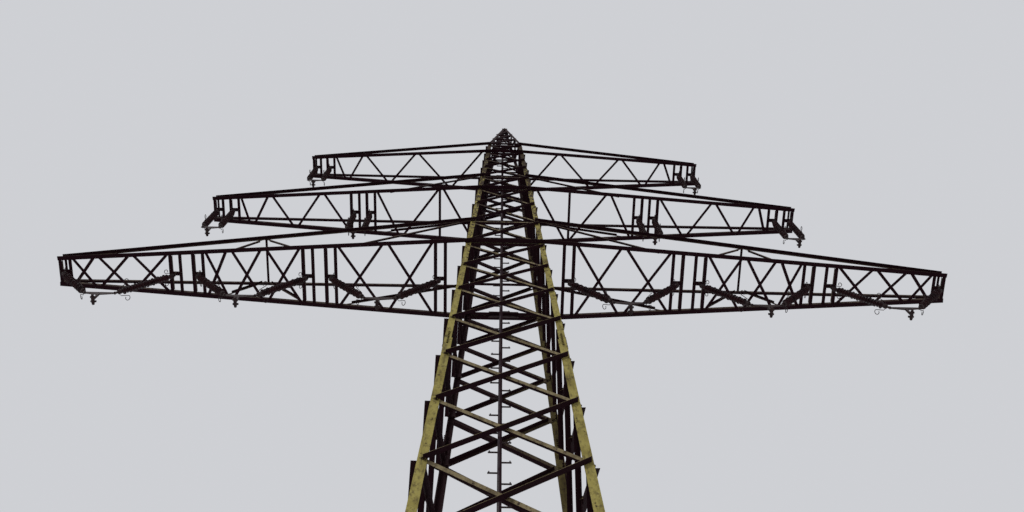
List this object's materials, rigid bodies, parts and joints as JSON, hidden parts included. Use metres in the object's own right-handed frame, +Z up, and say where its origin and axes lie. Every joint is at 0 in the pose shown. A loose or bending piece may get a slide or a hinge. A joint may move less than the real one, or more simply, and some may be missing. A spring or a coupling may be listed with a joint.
{
  "type": "lattice transmission pylon",
  "caption": "Tall square lattice pylon of steel angles with crossarms on three levels, V and twin insulator sets that swing along the line, a climbing pole and a peak.",
  "frame": {"origin": "on the ground under the middle of the body", "axes": "+Z up, +X along the crossarms, +Y along the line away from the picture's side"},
  "size_m": [18.8722, 3.5158, 39.3864],
  "materials": {
    "concrete": "matte",
    "leg_paint": "matte, weathered, with lichen",
    "brace_paint": "matte, weathered",
    "arm_paint": "matte, weathered",
    "pole_paint": "matte, weathered",
    "plate_paint": "matte",
    "fittings": "galvanised, weathered",
    "porcelain": "brown glaze"
  },
  "bodies": {
    "tower": {"footings": "concrete", "leg_front_left": "leg_paint", "leg_front_right": "leg_paint", "leg_back_right": "leg_paint", "leg_back_left": "leg_paint", "body_face_front": "brace_paint", "body_face_right": "brace_paint", "body_face_back": "brace_paint", "body_face_left": "brace_paint", "body_rings": "brace_paint", "arm_bottom_right_floor": "arm_paint", "arm_bottom_right_trusses": "arm_paint", "arm_bottom_left_floor": "arm_paint", "arm_bottom_left_trusses": "arm_paint", "arm_middle_right_floor": "arm_paint", "arm_middle_right_trusses": "arm_paint", "arm_middle_left_floor": "arm_paint", "arm_middle_left_trusses": "arm_paint", "arm_top_right_floor": "arm_paint", "arm_top_right_trusses": "arm_paint", "arm_top_left_floor": "arm_paint", "arm_top_left_trusses": "arm_paint", "peak": "arm_paint", "earth_wire_clamp": "fittings", "climbing_pole": "pole_paint", "back_plate": "plate_paint"},
    "set_bottom_right_outer": {"insulators_bottom_right_outer": "porcelain"},
    "set_bottom_right_centre": {"insulators_bottom_right_centre": "porcelain"},
    "set_bottom_right_inner": {"insulators_bottom_right_inner": "porcelain"},
    "set_middle_right_outer": {"insulators_middle_right_outer": "porcelain"},
    "set_middle_right_inner": {"insulators_middle_right_inner": "porcelain"},
    "set_top_right": {"insulators_top_right": "porcelain"},
    "set_bottom_left_outer": {"insulators_bottom_left_outer": "porcelain"},
    "set_bottom_left_centre": {"insulators_bottom_left_centre": "porcelain"},
    "set_bottom_left_inner": {"insulators_bottom_left_inner": "porcelain"},
    "set_middle_left_outer": {"insulators_middle_left_outer": "porcelain"},
    "set_middle_left_inner": {"insulators_middle_left_inner": "porcelain"},
    "set_top_left": {"insulators_top_left": "porcelain"}
  },
  "joints": [
    {"name": "swing_bottom_right_outer", "type": "hinge", "parent": "tower", "child": "set_bottom_right_outer", "pos_m": [8.12, 0, 23.525], "axis": [1, 0, 0], "range_deg": [-20, 20]},
    {"name": "swing_bottom_right_centre", "type": "hinge", "parent": "tower", "child": "set_bottom_right_centre", "pos_m": [5.32, 0, 23.525], "axis": [1, 0, 0], "range_deg": [-20, 20]},
    {"name": "swing_bottom_right_inner", "type": "hinge", "parent": "tower", "child": "set_bottom_right_inner", "pos_m": [2.52, 0, 23.525], "axis": [1, 0, 0], "range_deg": [-20, 20]},
    {"name": "swing_middle_right_outer", "type": "hinge", "parent": "tower", "child": "set_middle_right_outer", "pos_m": [7.1, 0, 28.525], "axis": [1, 0, 0], "range_deg": [-20, 20]},
    {"name": "swing_middle_right_inner", "type": "hinge", "parent": "tower", "child": "set_middle_right_inner", "pos_m": [3.62, 0, 28.525], "axis": [1, 0, 0], "range_deg": [-20, 20]},
    {"name": "swing_top_right", "type": "hinge", "parent": "tower", "child": "set_top_right", "pos_m": [5.38, 0, 33.325], "axis": [1, 0, 0], "range_deg": [-20, 20]},
    {"name": "swing_bottom_left_outer", "type": "hinge", "parent": "tower", "child": "set_bottom_left_outer", "pos_m": [-8.12, 0, 23.525], "axis": [1, 0, 0], "range_deg": [-20, 20]},
    {"name": "swing_bottom_left_centre", "type": "hinge", "parent": "tower", "child": "set_bottom_left_centre", "pos_m": [-5.32, 0, 23.525], "axis": [1, 0, 0], "range_deg": [-20, 20]},
    {"name": "swing_bottom_left_inner", "type": "hinge", "parent": "tower", "child": "set_bottom_left_inner", "pos_m": [-2.52, 0, 23.525], "axis": [1, 0, 0], "range_deg": [-20, 20]},
    {"name": "swing_middle_left_outer", "type": "hinge", "parent": "tower", "child": "set_middle_left_outer", "pos_m": [-7.1, 0, 28.525], "axis": [1, 0, 0], "range_deg": [-20, 20]},
    {"name": "swing_middle_left_inner", "type": "hinge", "parent": "tower", "child": "set_middle_left_inner", "pos_m": [-3.62, 0, 28.525], "axis": [1, 0, 0], "range_deg": [-20, 20]},
    {"name": "swing_top_left", "type": "hinge", "parent": "tower", "child": "set_top_left", "pos_m": [-5.38, 0, 33.325], "axis": [1, 0, 0], "range_deg": [-20, 20]}
  ]
}
